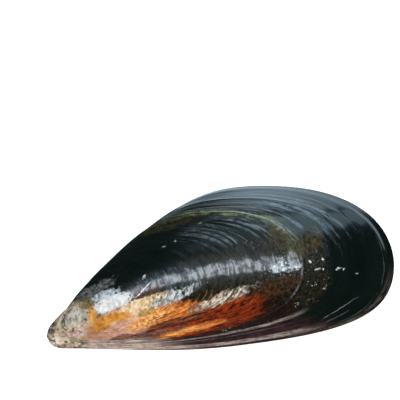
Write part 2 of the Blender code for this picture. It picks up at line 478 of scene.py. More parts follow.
@dataclass(frozen=True)
class GrowthTree:
    """The Geometry Nodes tree that grows a valve from its margin."""

    rule: GrowthRule
    growth_lines: int = 236
    lining_lines: int = 26
    points_round: int = 336
    first_age: float = 0.006
    crowding: float = 1.22
    lining_depth: float = 0.93
    lip_age: float = 0.05
    lip_power: float = 0.8
    weld: float = 2e-7

    def numbers(self) -> dict[str, float]:
        """The tree's named number inputs and their values.

        Returns:
            The growth rule's numbers, the side and the seed.
        """
        rule = self.rule
        plain = ("length", "turn_rate", "turn_most", "swing", "beak_softness", "beak_height", "beak_spread")
        plain += ("lip_share", "join_gap", "ligament_gape", "byssus_gape", "ridge_height")
        named = {name.replace("_", " ").title(): getattr(rule, name) for name in plain}
        named |= dict(zip(("Beak X", "Beak Y", "Middle X", "Middle Y"), rule.beak + rule.middle))
        return named | {"Side": 1.0, "Seed": 0.0}

    def build(self) -> bpy.types.NodeTree:
        """Makes the node tree.

        Returns:
            The tree, with the inputs of numbers() and two materials.
        """
        takes = {"Geometry": "Geometry"} | {name: "Float" for name in self.numbers()}
        takes |= {"Skin": "Material", "Lining": "Material"}
        t, number = new_group("valve_growth", "GeometryNodeTree", takes, {"Geometry": "Geometry"})

        # A sheet with one row for each growth line, then the rows of the lining.
        rows = self.growth_lines + self.lining_lines
        sizes = {"Size X": 1.0, "Size Y": 1.0, "Vertices X": rows, "Vertices Y": self.points_round + 1}
        sheet = t.value("GeometryNodeMeshGrid", links=sizes, output="Mesh")
        across, along, _ = t.parts(t.value("GeometryNodeInputPosition"))
        row, sweep = ((across + 0.5) * float(rows - 1)).rounded(), along + 0.5
        lining = row > self.growth_lines - 0.5
        grown = (row / float(self.growth_lines - 1)).least(1.0)
        outer_age = self.first_age + (1.0 - self.first_age) * grown**self.crowding
        inward = ((row - float(self.growth_lines)) / float(self.lining_lines - 1)).most(0.0)
        age = outer_age * (1.0 - lining) + (1.0 - self.lining_depth * inward) * lining
        sheet = self.store(t, sheet, "growth", t.vector(age, sweep, lining))
        sheet = self.store(t, sheet, "growth_map", t.vector(sweep, age, 0.0), "FLOAT2", "CORNER")

        # Each point is moved to where its growth line lay.
        read = {"data_type": "FLOAT_VECTOR"}
        kept = t.value("GeometryNodeInputNamedAttribute", read, {"Name": "growth"}, "Attribute")
        age, sweep, lining = t.parts(kept)
        line = t.value("GeometryNodeMeshToCurve", links={"Mesh": number["Geometry"]})
        how = {"mode": "FACTOR", "use_all_curves": True}
        spot = t.value("GeometryNodeSampleCurve", how, {"Curves": line, "Factor": sweep}, "Position")
        margin_x, margin_y, _ = t.parts(spot)
        inner_share = 1.0 - number["Lip Share"] / age.most(self.lip_age) ** self.lip_power
        pole = (row < 0.5).most(row > rows - 1.5)
        share = (1.0 - lining + inner_share * lining) * (1.0 - pole)
        centre_x = number["Middle X"] * lining + number["Beak X"] * (1.0 - lining)
        centre_y = number["Middle Y"] * lining + number["Beak Y"] * (1.0 - lining)
        out_x = centre_x + share * (margin_x - centre_x)
        out_y = centre_y + share * (margin_y - centre_y)
        x, y, z = self.grown(number, age, out_x, out_y, number["Beak Height"] * (1.0 - 0.5 * lining))
        gape = self.gape(number, margin_x, margin_y) * age.rise(*self.rule.gape_age)
        place = t.vectors("SCALE", {0: t.vector(x, y, z), "Scale": number["Length"]})
        stand = t.vector(0.0, 0.0, gape + number["Join Gap"] * 0.5)
        place = t.vectors("ADD", {0: place, 1: stand})

        # The relief is raised along the normal, then the valve is turned to its side and gets its materials.
        valve = t.value("GeometryNodeSetPosition", links={"Geometry": sheet, "Position": place})
        valve = self.store(t, valve, "shell_place", t.vector(x, y, z))
        valve = t.value("GeometryNodeMergeByDistance", links={"Geometry": valve, "Distance": self.weld})
        normal = t.value("GeometryNodeInputNormal")
        relief = self.relief(t, number, age, sweep, margin_x, margin_y) * (1.0 - lining)
        proud = t.vectors("SCALE", {0: normal, "Scale": relief})
        valve = t.value("GeometryNodeSetPosition", links={"Geometry": valve, "Offset": proud})
        here, side = t.value("GeometryNodeInputPosition"), number["Side"]
        fold = t.vectors("MULTIPLY", {0: here, 1: t.vector(1.0, 1.0, side)})
        valve = t.value("GeometryNodeSetPosition", links={"Geometry": valve, "Position": fold})
        valve = t.value("GeometryNodeFlipFaces", links={"Mesh": valve, "Selection": side < 0.0})
        valve = t.value("GeometryNodeRealizeInstances", links={"Geometry": valve})
        valve = t.value("GeometryNodeSetMaterial", links={"Geometry": valve, "Material": number["Skin"]})
        inner = {"Geometry": valve, "Selection": lining > 0.5, "Material": number["Lining"]}
        t.node("NodeGroupOutput", links={"Geometry": t.value("GeometryNodeSetMaterial", links=inner)})
        return t.tree

    @staticmethod
    def store(
        t: Tree, geometry: Field, name: str, value: Field, kind: str = "FLOAT_VECTOR", domain: str = "POINT"
    ) -> Field:
        """Keeps a value on the geometry under a name.

        Args:
            t: The tree.
            geometry: The geometry.
            name: The attribute's name.
            value: The value.
            kind: Its data type.
            domain: What it is kept on.

        Returns:
            The geometry with the attribute.
        """
        links = {"Geometry": geometry, "Name": name, "Value": value}
        return t.value("GeometryNodeStoreNamedAttribute", {"data_type": kind, "domain": domain}, links)

    @staticmethod
    def grown(
        number: Mapping[str, Field], age: Field, out_x: Field, out_y: Field, height: Field
    ) -> tuple[Field, Field, Field]:
        """Where a point of the margin was when the shell had this age.

        Args:
            number: The tree's number inputs.
            age: The age, from 0 at the beak to 1 at the margin.
            out_x: The point's place along the shell.
            out_y: The point's place across the shell.
            height: How far the beak is domed.

        Returns:
            The place in the shell frame, in shares of the length.
        """
        turn = number["Turn Most"] * (1.0 - age ** (number["Turn Rate"] / number["Turn Most"]))
        swing = number["Swing"] * (1.0 - age)
        across = age * (out_x - number["Beak X"])
        up = age * (out_y - number["Beak Y"])
        x = across * swing.cosine() - up * swing.sine()
        y = across * swing.sine() + up * swing.cosine()
        reach = (x + (x * x + number["Beak Softness"] ** 2.0).root()) * 0.5
        spread = number["Beak Spread"]
        dome = height * (1.0 - age * age).root() * math.e ** (0.0 - (x * x + y * y) / (spread * spread))
        rise = reach * turn.sine() + dome
        return number["Beak X"] + x - reach * (1.0 - turn.cosine()), number["Beak Y"] + y, rise

    def gape(self, number: Mapping[str, Field], x: Field, y: Field) -> Field:
        """How far the valve's edge stands back from the join, beside the ligament and at the byssus.

        Args:
            number: The tree's number inputs.
            x: The margin point's place along the shell.
            y: Its place across the shell.

        Returns:
            The distance in metres.
        """
        slope, start = self.rule.hinge_line
        hinge = y > x * slope + start
        (rise, fall), (start, end) = self.rule.ligament_run, self.rule.byssus_run
        ligament = x.rise(*rise) * x.rise(*fall) * number["Ligament Gape"]
        byssus = x.rise(*start) * x.rise(*end) * number["Byssus Gape"]
        return hinge * ligament + (1.0 - hinge) * byssus

    def relief(
        self, t: Tree, number: Mapping[str, Field], age: Field, sweep: Field, margin_x: Field, margin_y: Field
    ) -> Field:
        """How far the outer surface stands proud: a ledge at each growth check, and finer ridges between.

        Args:
            t: The tree.
            number: Its number inputs.
            age: The growth line's age.
            sweep: The place round it.
            margin_x: The margin point's place along the shell.
            margin_y: Its place across the shell.

        Returns:
            The height in metres.
        """
        rule, seed, ridge = self.rule, number["Seed"], number["Ridge Height"]
        turn = sweep * (2.0 * math.pi)
        here = age + (t.noise(t.swept(turn, 1.3, age * 9.0 + seed), detail=1.0) - 0.5) * rule.check_wander
        ledges = []
        for at, proud, fade in rule.checks:
            ledge = here.rise(at - rule.check_rise, at) * here.rise(at + rule.check_drop, at) * proud
            ledges.append(ledge * (1.0 - fade * sweep.rise(*rule.hinge_side)) if fade else ledge)
        steps = sum(ledges[1:], ledges[0])
        medium, coarse = (
            (t.noise(t.swept(turn, wide, here * pace + seed + start), detail=detail) - 0.5) * ridge * height
            for wide, pace, start, detail, height in rule.ridges
        )
        far_x, far_y = margin_x - number["Beak X"], margin_y - number["Beak Y"]
        away = (far_x * far_x + far_y * far_y).root().rise(*rule.relief_from_beak)
        ridges = (medium + coarse) * away * age.rise(*rule.ridges_from_age)
        return (steps * away + ridges) * age.rise(*rule.smooth_edge)


class Grain(Enum):
    """How the two tones of a layer are mixed."""

    BLOTCH = "soft blotches"
    MOTTLE = "small mottles"
    STREAK = "streaks drawn out along the growth lines"
    HAIR = "fine hair lines along the growth lines"


@dataclass(frozen=True)
class StainOrGlint:
    """An oval stain, worn place or painted glint, in shares of the length, as seen from a little to the hinge
    side.
    """

    at: tuple[float, float]
    half: tuple[float, float]
    slant: float
    dark: Tone
    pale: Tone
    grain: Grain
    ragged: float = 1.0
    share: float = 1.0


STAINS_AND_GLINTS: tuple[StainOrGlint, ...] = (
    StainOrGlint((0.055, 0.022), (0.082, 0.060), 24.0, (130, 112, 88), (208, 190, 166), Grain.BLOTCH, 0.9),
    StainOrGlint((0.400, 0.250), (0.110, 0.016), 5.0, (16, 17, 12), (70, 62, 34), Grain.MOTTLE, 2.4, 0.5),
    StainOrGlint((0.655, 0.016), (0.072, 0.024), 6.0, (24, 16, 8), (86, 54, 22), Grain.MOTTLE, 2.6, 0.65),
    StainOrGlint((0.698, 0.142), (0.044, 0.028), -56.0, (24, 24, 15), (90, 76, 46), Grain.MOTTLE, 2.8, 0.6),
    StainOrGlint((0.560, -0.008), (0.060, 0.018), -2.0, (30, 16, 9), (104, 52, 20), Grain.STREAK, 2.0, 0.7),
    StainOrGlint((0.772, 0.115), (0.024, 0.045), -69.0, (18, 16, 9), (96, 78, 36), Grain.MOTTLE, 2.6, 0.6),
    StainOrGlint((0.590, -0.044), (0.110, 0.034), 3.0, (14, 8, 6), (44, 20, 10), Grain.STREAK, 1.8, 0.85),
    StainOrGlint((0.245, 0.008), (0.135, 0.044), 5.0, (170, 122, 94), (218, 178, 144), Grain.BLOTCH, 0.9),
    StainOrGlint((0.199, -0.020), (0.088, 0.020), -1.0, (178, 126, 102), (218, 172, 148), Grain.BLOTCH, 0.9),
    StainOrGlint((0.285, 0.043), (0.078, 0.019), 9.0, (190, 152, 108), (238, 216, 180), Grain.MOTTLE, 1.4),
    StainOrGlint((0.448, -0.026), (0.166, 0.045), 2.0, (42, 11, 4), (182, 68, 13), Grain.STREAK, 1.3),
    StainOrGlint((0.520, -0.036), (0.080, 0.034), 1.0, (38, 12, 6), (152, 54, 14), Grain.STREAK, 1.9, 0.85),
    StainOrGlint((0.350, 0.004), (0.080, 0.026), 8.0, (146, 62, 18), (240, 154, 70), Grain.STREAK, 1.6, 0.9),
    # Orange with painted gold glints on its streaks.
    StainOrGlint((0.293, -0.005), (0.062, 0.018), 13.0, (200, 104, 32), (252, 206, 132), Grain.MOTTLE, 1.8, 0.9),
    StainOrGlint((0.340, -0.021), (0.048, 0.0060), 6.0, (56, 22, 11), (124, 60, 28), Grain.STREAK, 2.2, 0.85),
    StainOrGlint((0.392, -0.028), (0.078, 0.0075), 3.0, (58, 20, 10), (112, 48, 18), Grain.HAIR, 2.2, 0.9),
    StainOrGlint((0.484, 0.008), (0.072, 0.0080), 5.0, (60, 22, 10), (124, 54, 22), Grain.STREAK, 2.6, 0.8),
    StainOrGlint((0.222, -0.040), (0.048, 0.0070), -1.0, (84, 50, 40), (160, 112, 92), Grain.HAIR, 2.0, 0.85),
    StainOrGlint((0.329, -0.044), (0.064, 0.0060), 1.0, (82, 50, 44), (150, 108, 92), Grain.HAIR, 2.2, 0.85),
    StainOrGlint((0.405, -0.053), (0.100, 0.0080), 3.0, (176, 78, 20), (252, 190, 100), Grain.STREAK, 1.9, 0.95),
    StainOrGlint((0.298, 0.076), (0.058, 0.014), 5.0, (26, 14, 8), (84, 46, 21), Grain.MOTTLE, 2.0, 0.85),
    StainOrGlint((0.375, 0.049), (0.082, 0.016), 13.0, (34, 34, 33), (222, 226, 226), Grain.HAIR, 2.8, 0.75),
    StainOrGlint((0.505, 0.014), (0.088, 0.016), 11.0, (84, 68, 50), (232, 222, 202), Grain.HAIR, 2.6, 0.8),
    StainOrGlint((0.194, 0.062), (0.060, 0.021), 9.0, (200, 198, 194), (238, 236, 230), Grain.BLOTCH, 1.6),
    StainOrGlint((0.180, 0.087), (0.042, 0.012), 13.0, (136, 144, 148), (214, 218, 218), Grain.MOTTLE, 2.0, 0.85),
    StainOrGlint((0.160, 0.108), (0.058, 0.014), 14.0, (26, 27, 28), (128, 126, 122), Grain.MOTTLE, 2.4, 0.75),
    StainOrGlint((0.290, 0.019), (0.028, 0.0100), 9.0, (136, 106, 46), (200, 168, 94), Grain.MOTTLE, 2.2, 0.75),
    StainOrGlint((0.207, 0.022), (0.040, 0.0120), 1.0, (190, 118, 22), (224, 162, 62), Grain.BLOTCH, 2.6, 0.85),
    StainOrGlint((0.141, 0.038), (0.026, 0.0115), -83.0, (190, 124, 40), (222, 172, 90), Grain.BLOTCH, 2.0, 0.9),
    StainOrGlint((0.142, 0.000), (0.032, 0.0120), 1.0, (176, 106, 24), (218, 156, 62), Grain.BLOTCH, 2.6, 0.85),
    StainOrGlint((0.128, 0.072), (0.022, 0.0110), 9.0, (78, 68, 26), (138, 122, 58), Grain.MOTTLE, 2.8, 0.8),
    StainOrGlint((0.087, 0.040), (0.030, 0.0170), 20.0, (132, 128, 116), (222, 216, 206), Grain.BLOTCH, 2.4, 0.70),
    StainOrGlint((0.087, -0.003), (0.045, 0.0110), 0.0, (164, 128, 118), (230, 204, 198), Grain.BLOTCH, 1.8, 0.75),
    StainOrGlint((0.036, -0.014), (0.026, 0.0110), -14.0, (206, 188, 166), (244, 232, 218), Grain.BLOTCH, 1.2, 0.9),
    StainOrGlint((0.014, 0.020), (0.009, 0.0120), 30.0, (42, 42, 38), (110, 104, 84), Grain.MOTTLE, 1.8, 0.85),
    # Painted highlight: a pale stroke along a growth line near the beak.
    StainOrGlint((0.291, 0.080), (0.030, 0.0017), 34.0, (160, 154, 160), (240, 236, 240), Grain.HAIR, 0.7, 0.9),
    # Painted reflections: grey streaks along the ridges near the belly edge at the hind end.
    StainOrGlint((0.823, -0.079), (0.062, 0.0014), 20.0, (60, 68, 68), (128, 136, 136), Grain.HAIR, 0.6, 0.6),
    StainOrGlint((0.813, -0.100), (0.036, 0.0014), 16.0, (60, 70, 76), (112, 120, 128), Grain.HAIR, 0.6, 0.5),
    # Painted highlights: white glints and sparkles on the hind part, standing in for the window light caught
    # on small bumps.
    StainOrGlint((0.691, 0.066), (0.042, 0.014), -7.0, (70, 80, 84), (238, 244, 248), Grain.MOTTLE, 3.0, 0.75),
    StainOrGlint((0.765, 0.066), (0.0050, 0.0036), 60.0, (150, 154, 148), (248, 248, 246), Grain.MOTTLE, 2.4),
    StainOrGlint((0.781, 0.041), (0.0060, 0.0028), 4.0, (130, 136, 130), (240, 240, 238), Grain.MOTTLE, 2.8, 0.9),
    StainOrGlint((0.799, 0.039), (0.0035, 0.0030), 40.0, (150, 154, 148), (244, 244, 240), Grain.MOTTLE, 2.0, 0.9),
    StainOrGlint((0.804, 0.068), (0.0040, 0.0032), 60.0, (130, 136, 130), (236, 238, 232), Grain.MOTTLE, 2.4, 0.9),
    StainOrGlint((0.842, 0.032), (0.0050, 0.0026), -4.0, (110, 118, 114), (228, 232, 230), Grain.MOTTLE, 2.8, 0.85),
    StainOrGlint((0.855, 0.026), (0.0034, 0.0030), 30.0, (120, 126, 122), (228, 232, 230), Grain.MOTTLE, 2.2, 0.85),
    StainOrGlint((0.888, 0.008), (0.0036, 0.0024), -30.0, (100, 108, 104), (204, 210, 206), Grain.MOTTLE, 2.4, 0.8),
    StainOrGlint((0.301, 0.115), (0.006, 0.0030), 49.0, (120, 124, 122), (216, 216, 216), Grain.MOTTLE, 1.8, 0.85),
    StainOrGlint((0.412, 0.199), (0.005, 0.0022), 14.0, (110, 108, 96), (200, 198, 188), Grain.MOTTLE, 2.4, 0.85),
    StainOrGlint((0.376, 0.189), (0.007, 0.0026), 9.0, (90, 88, 80), (164, 162, 152), Grain.MOTTLE, 1.6, 0.8),
    StainOrGlint((0.485, 0.233), (0.005, 0.0026), 9.0, (90, 86, 74), (176, 170, 156), Grain.MOTTLE, 2.0, 0.8),
)


def layer_group() -> bpy.types.NodeTree:
    """One layer of the skin, laid over the colour below.

    Returns:
        The group. Its dark tone is laid first, and its pale one over that where the grain is.
    """
    takes = {"Mask": "Float", "Grain": "Float", "Under": "Color", "Dark": "Color", "Pale": "Color"}
    t, given = new_group("skin_layer", "ShaderNodeTree", takes, {"Colour": "Color"})
    dark = t.mix(given["Mask"], given["Under"], given["Dark"])
    both = t.mix(given["Mask"] * given["Grain"], dark, given["Pale"])
    t.node("NodeGroupOutput", links={"Colour": both})
    return t.tree


def oval_group() -> bpy.types.NodeTree:
    """The mask of an oval with a torn edge.

    Returns:
        The group. It takes the place that is looked at, the noise that tears the edge, and the oval.
    """
    takes = {"Place": "Vector", "Torn": "Float", "At": "Vector", "Turn": "Vector", "Half": "Vector"}
    takes |= {"Ragged": "Float", "Share": "Float"}
    t, given = new_group("torn_oval", "ShaderNodeTree", takes, {"Mask": "Float"})
    links = {"Vector": given["Place"], "Location": given["At"]}
    links |= {"Rotation": given["Turn"], "Scale": given["Half"]}
    inner = t.value("ShaderNodeMapping", {"vector_type": "TEXTURE"}, links)
    reach = t.vectors("LENGTH", {0: inner}, "Value")
    inside = (reach + given["Torn"] * given["Ragged"]).rise(1.18, 0.82)
    t.node("NodeGroupOutput", links={"Mask": inside * given["Share"]})
    return t.tree


class Coat:
    """The colour of a valve's skin as it is built up, layer by layer, and what it reads at each point."""

    def __init__(self, t: Tree, layer: bpy.types.NodeTree, seed: float) -> None:
        """Reads each point's place on the shell and the noise there, and lays the ground colour.

        Args:
            t: The material's tree.
            layer: The node group that lays one layer.
            seed: Where the noise starts, so that the two valves differ.
        """
        self.tree, self.layer, self.seed = t, layer, seed
        self.sweep, self.age, _ = t.parts(t.value("ShaderNodeUVMap", {"uv_map": "growth_map"}))
        self.place = t.value("ShaderNodeAttribute", {"attribute_name": "shell_place"}, output="Vector")
        turn = self.sweep * (2.0 * math.pi)
        self.ringed = t.vector(turn.cosine(), turn.sine(), self.age)
        self.soft, self.crisp = self.spots(11.0, 3.1, 3.0) - 0.5, self.spots(70.0, 8.3, 4.0, 0.65) - 0.5
        self.drawn, self.hairs = self.rings(46.0, 4.0, 51.0, 4.0, 0.6), self.rings(130.0, 8.0, 5.0, 4.0, 0.6)
        drawn, hairs = (self.drawn - 0.5) * 0.03, (self.hairs - 0.5) * 0.03
        self.torn_age = self.age + self.soft * 0.05 + self.crisp * 0.04 + drawn
        self.torn_sweep = self.sweep + self.soft * 0.05 + self.crisp * 0.03 + hairs
        blotch = self.spots(30.0, 6.0, 5.0, 0.6) * 0.75 + self.crisp * 0.5 + 0.125
        streak = self.drawn * 0.5 + self.hairs * 0.5 + self.crisp * 0.25
        self.grains = {
            Grain.BLOTCH: blotch.rise(0.36, 0.64),
            Grain.MOTTLE: self.spots(100.0, 13.0, 5.0, 0.7).rise(0.38, 0.62),
            Grain.STREAK: streak.rise(0.40, 0.62),
            Grain.HAIR: (self.hairs * 0.65 + self.spots(90.0, 19.0, 4.0, 0.65) * 0.35).rise(0.42, 0.60),
        }
        self.colour: object = t.mix(self.rings(26.0, 2.0, 11.0), tint((4, 10, 8)), tint((11, 22, 18)))
        self.arcs, self.frays = self.rings(150.0, 1.3, 21.0, 3.0), self.rings(190.0, 3.0, 33.0, 4.0, 0.65)

    def rings(self, fine: float, wide: float, shift: float, detail: float = 2.0, rough: float = 0.5) -> Field:
        """Noise drawn out along the growth lines."""
        spot = self.tree.placed(self.ringed, (0.0, 0.0, self.seed + shift), (wide, wide, fine))
        return self.tree.noise(spot, detail=detail, roughness=rough)

    def spots(self, scale: float, shift: float, detail: float = 2.0, rough: float = 0.5) -> Field:
        """Noise that is the same in every direction."""
        spot = self.tree.placed(self.place, (self.seed + shift, 0.37 * shift, 1.7 * shift), (scale,) * 3)
        return self.tree.noise(spot, detail=detail, roughness=rough)

    def lay(self, mask: Field, dark: Tone, pale: Tone, grain: Grain) -> None:
        """Lays one layer over the others.

        Args:
            mask: Where the layer shows, 0 to 1.
            dark: Its darker tone.
            pale: Its paler tone.
            grain: How the two are mixed.
        """
        links = {"Mask": mask, "Grain": self.grains[grain], "Under": self.colour}
        links |= {"Dark": tint(dark), "Pale": tint(pale)}
        self.colour = self.tree.value("ShaderNodeGroup", {"node_tree": self.layer}, links)


@dataclass(frozen=True)
class ValveSkin:
    """The outside of a valve: glossy blue-black skin, worn to lime, ochre and orange near the beak.

    The layers' places are windows of sweep and age: a start, an end and half the width of both edges.
    """

    name: str
    layer: bpy.types.NodeTree
    oval: bpy.types.NodeTree
    seed: float = 0.0
    lean: float = math.radians(14.0)
    relief: float = 0.00004

    def build(self) -> bpy.types.Material:
        """Makes the material.

        Returns:
            The material. It reads the piece's growth_map and shell_place.
        """
        material, t = new_material(self.name)
        coat = Coat(t, self.layer, self.seed)
        keel, dull = self.hind_part(coat)
        self.belly_side(coat)
        beak = self.beak_end(coat)
        self.last_marks(coat, beak)
        self.finish(coat, keel, dull)
        return material

    @staticmethod
    def hind_part(coat: Coat) -> tuple[Field, Field]:
        """Lays the keel's painted bluish highlight frays, the dull crust with its pale specks, the grey arcs,
        the painted comb of grey-blue reflections outside the ring and the pale check of the hind part.

        Args:
            coat: The skin so far.

        Returns:
            Where the keel is, and where the crust is.
        """
        s, g, frays = coat.torn_sweep, coat.torn_age, coat.frays
        grey = s.window(0.49, 0.63, 0.03) * g.window(0.57, 0.76, 0.06)
        coat.lay(grey * coat.arcs.rise(0.44, 0.62) * 0.9, (44, 52, 54), (122, 132, 132), Grain.STREAK)
        keel = s.window(0.440, 0.520, 0.012) * g.window(0.22, 0.76, 0.04)
        # Painted highlight: bluish frays along the keel stand in for the window light mirrored there.
        coat.lay(keel * frays.rise(0.47, 0.60) * 0.6, (34, 44, 50), (100, 116, 126), Grain.MOTTLE)
        # Painted reflection: grey-blue comb fingers outside the ring, standing in for the room's light
        # mirrored in the gloss.
        painted_reflection_comb = s.window(0.515, 0.625, 0.02) * g.window(0.785, 0.930, 0.016)
        painted_reflection_comb = painted_reflection_comb * coat.rings(70.0, 1.1, 71.0, 3.0).rise(0.50, 0.60)
        coat.lay(painted_reflection_comb * 0.7, (26, 36, 40), (112, 130, 140), Grain.STREAK)
        dull = s.window(0.27, 0.530, 0.02) * g.rise(0.835, 0.805) * g.rise(0.36, 0.52)
        coat.lay(dull * 0.8, (9, 11, 8), (42, 37, 20), Grain.MOTTLE)
        # Pale specks scattered over the crust beyond the middle ages.
        pale_specks = coat.spots(150.0, 4.0, 3.0, 0.6).rise(0.60, 0.68)
        pale_specks = pale_specks * coat.spots(24.0, 44.0, 3.0).rise(0.44, 0.60)
        coat.lay(dull * g.rise(0.60, 0.70) * pale_specks * 0.85, (104, 98, 76), (206, 206, 196), Grain.BLOTCH)
        ring = s.window(0.50, 0.77, 0.03) * (g + coat.soft * 0.03).window(0.722, 0.772, 0.014)
        coat.lay(ring * 0.7, (36, 42, 24), (128, 134, 88), Grain.STREAK)
        band = (coat.age + (coat.drawn - 0.5) * 0.010).window(0.744, 0.762, 0.006)
        band = band * coat.sweep.window(0.49, 0.60, 0.03)
        coat.lay(band * 0.6, (52, 58, 50), (132, 138, 122), Grain.STREAK)
        check = (coat.age + (coat.rings(9.0, 1.3, 17.0) - 0.5) * 0.012).window(0.7435, 0.7480, 0.003)
        check = check * coat.sweep.window(0.36, 0.60, 0.05)
        coat.lay(check * 0.6, (70, 74, 70), (160, 164, 158), Grain.MOTTLE)
        return keel, dull

    @staticmethod
    def belly_side(coat: Coat) -> None:
        """Lays the brown of the belly side, with its pale lines painted as reflections on the ridges, and its
        lilac and umber stretches.

        Args:
            coat: The skin so far.
        """
        s, g = coat.torn_sweep, coat.torn_age
        belly = s.rise(0.385, 0.32) * g.rise(0.79, 0.83)
        coat.lay(belly * 0.9, (28, 15, 18), (62, 36, 40), Grain.BLOTCH)
        # Painted reflection: the pale lines stand in for the floor's light mirrored on the ridges near the
        # belly edge.
        lines = ((0.818, 0.838, 0.65, 0.40), (0.862, 0.868, 0.3, 0.36), (0.934, 0.966, 0.8, 0.37))
        for low, high, share, end in lines:
            line = (coat.age + (coat.drawn - 0.5) * 0.02).window(low, high, 0.006) * s.rise(end, end - 0.07)
            coat.lay(line * share, (100, 88, 82), (188, 176, 166), Grain.STREAK)
        lilac = s.rise(0.21, 0.13) * g.rise(0.16, 0.24)
        coat.lay(lilac, (122, 102, 92), (212, 194, 182), Grain.STREAK)
        umber = s.window(0.12, 0.21, 0.02) * g.window(0.50, 0.68, 0.03)
        coat.lay(umber * 0.7, (74, 46, 40), (132, 96, 84), Grain.HAIR)

    def beak_end(self, coat: Coat) -> Field:
        """Lays the worn lime of the beak, then the oval stains and painted glints.

        Args:
            coat: The skin so far.

        Returns:
            Where the beak is.
        """
        t, soft, crisp, drawn = coat.tree, coat.soft, coat.crisp, coat.drawn
        x, y, z = t.parts(coat.place)
        along = x + soft * 0.020 + crisp * 0.020
        across = y * math.cos(self.lean) + z * math.sin(self.lean) + soft * 0.012 + crisp * 0.012
        across = across + (drawn - 0.5) * 0.010
        round_tip = (along * along + across * across).root().rise(0.13, 0.09)
        beak = coat.torn_age.rise(0.20, 0.15).most(round_tip)
        coat.lay(beak, (112, 98, 76), (190, 174, 148), Grain.BLOTCH)
        bone = beak * coat.spots(36.0, 22.0, 4.0, 0.65).rise(0.48, 0.58)
        coat.lay(bone * 0.65, (200, 190, 180), (236, 228, 218), Grain.MOTTLE)
        torn = crisp * 0.65 + (coat.hairs - 0.5) * 0.55
        seen = t.vector(along, across, 0.0)
        for oval_mark in STAINS_AND_GLINTS:
            links = {"Place": seen, "Torn": torn, "Ragged": oval_mark.ragged, "Share": oval_mark.share}
            links |= {"At": (*oval_mark.at, 0.0), "Half": (*oval_mark.half, 1.0)}
            links["Turn"] = (0.0, 0.0, math.radians(oval_mark.slant))
            mask = t.value("ShaderNodeGroup", {"node_tree": self.oval}, links)
            coat.lay(mask, oval_mark.dark, oval_mark.pale, oval_mark.grain)
        return beak

    @staticmethod
    def last_marks(coat: Coat, beak: Field) -> None:
        """Lays the marks that lie over the oval stains and painted glints: ochre and orange streaks with
        painted gold glints, pits, and lines near the edge.

        Args:
            coat: The skin so far.
            beak: Where the beak is.
        """
        s, g, drawn = coat.torn_sweep, coat.torn_age, coat.drawn
        ochre = (g - (0.33 - (s - 0.17) * 0.5)).window(-0.03, 0.03, 0.015) * s.window(0.15, 0.40, 0.02)
        ochre = ochre * coat.spots(26.0, 12.0, 4.0).rise(0.40, 0.52)
        coat.lay(ochre * 0.9, (156, 94, 26), (218, 154, 64), Grain.BLOTCH)
        orange = s.window(0.16, 0.42, 0.02) * g.window(0.36, 0.72, 0.03)
        coat.lay(orange * drawn.rise(0.57, 0.66) * 0.75, (50, 18, 10), (100, 42, 18), Grain.HAIR)
        # Painted highlight: gold-cream glints on the orange streaks, standing in for light caught by their
        # ridges.
        painted_gold_glints = orange * g.rise(0.60, 0.52) * coat.arcs.rise(0.58, 0.68)
        coat.lay(painted_gold_glints * 0.40, (232, 150, 74), (255, 222, 160), Grain.MOTTLE)
        pits = coat.spots(62.0, 16.0, 4.0, 0.6).rise(0.55, 0.62) * beak
        coat.lay(pits * 0.85, (44, 40, 30), (100, 88, 60), Grain.MOTTLE)
        rim = (coat.age + (drawn - 0.5) * 0.004).window(0.9685, 0.9710, 0.0020)
        rim = rim * coat.sweep.window(0.34, 0.60, 0.04)
        coat.lay(rim * coat.hairs.rise(0.40, 0.62) * 0.30, (74, 80, 80), (122, 128, 126), Grain.HAIR)
        rust = coat.age.rise(0.974, 0.988) * coat.sweep.window(0.30, 0.44, 0.03)
        coat.lay(rust * 0.6, (30, 28, 26), (102, 94, 84), Grain.STREAK)

    def finish(self, coat: Coat, keel: Field, dull: Field) -> None:
        """Gives the skin its gloss, its scuffs and its fine relief.

        Args:
            coat: The skin with all its layers.
            keel: Where the keel is, which carries the painted highlight frays.
            dull: Where the dull crust is.
        """
        t, s, g, age = coat.tree, coat.torn_sweep, coat.torn_age, coat.age
        crisp, drawn, hairs = coat.crisp, coat.drawn, coat.hairs
        uneven = hairs.rise(0.30, 0.70) * 0.5 + crisp + 0.25
        shade = t.mix(uneven, (0.70, 0.69, 0.68, 1.0), (1.08, 1.08, 1.08, 1.0))
        colour = t.mix(1.0, coat.colour, shade, "MULTIPLY")
        bare = t.value("ShaderNodeRGBToBW", links={"Color": coat.colour}).rise(0.05, 0.50) * 0.6
        scuffs = (coat.spots(60.0, 27.0, 5.0, 0.75) + coat.frays).rise(0.86, 1.14)
        scuffs = scuffs * s.window(0.40, 0.525, 0.015) * g.window(0.26, 0.83, 0.03)
        elder = s.rise(0.485, 0.515) * g.rise(0.765, 0.725)
        rough = 0.16 + 0.20 * bare + (hairs - 0.5) * 0.12 + scuffs * 0.32 + elder * 0.12
        still = age.rise(0.02, 0.60) * 0.85 + 0.15
        height = (coat.rings(160.0, 3.0, 91.0, 3.0) * 1.1 + drawn * 1.2 + hairs * 0.5) * still
        worn = s.rise(0.47, 0.42) * g.rise(0.80, 0.70)
        height = height + coat.spots(240.0, 97.0, 2.0) * (0.10 + 0.3 * worn + 0.6 * dull) + crisp * worn * 1.2
        pimples = dull * g.rise(0.66, 0.74) * coat.spots(150.0, 61.0, 1.0).rise(0.50, 0.70) * 4.0
        waves = coat.rings(52.0, 1.2, 67.0, 2.0) * s.window(0.52, 0.68, 0.03) * age.window(0.77, 0.96, 0.02)
        height = height + keel * coat.frays * 1.3 + pimples + waves * 4.8
        looks = {"Normal": t.bumped(height, self.relief), "Base Color": colour, "Roughness": rough}
        looks["Coat Weight"] = (1.0 - 0.75 * bare) * (1.0 - 0.80 * scuffs) * (1.0 - 0.92 * elder)
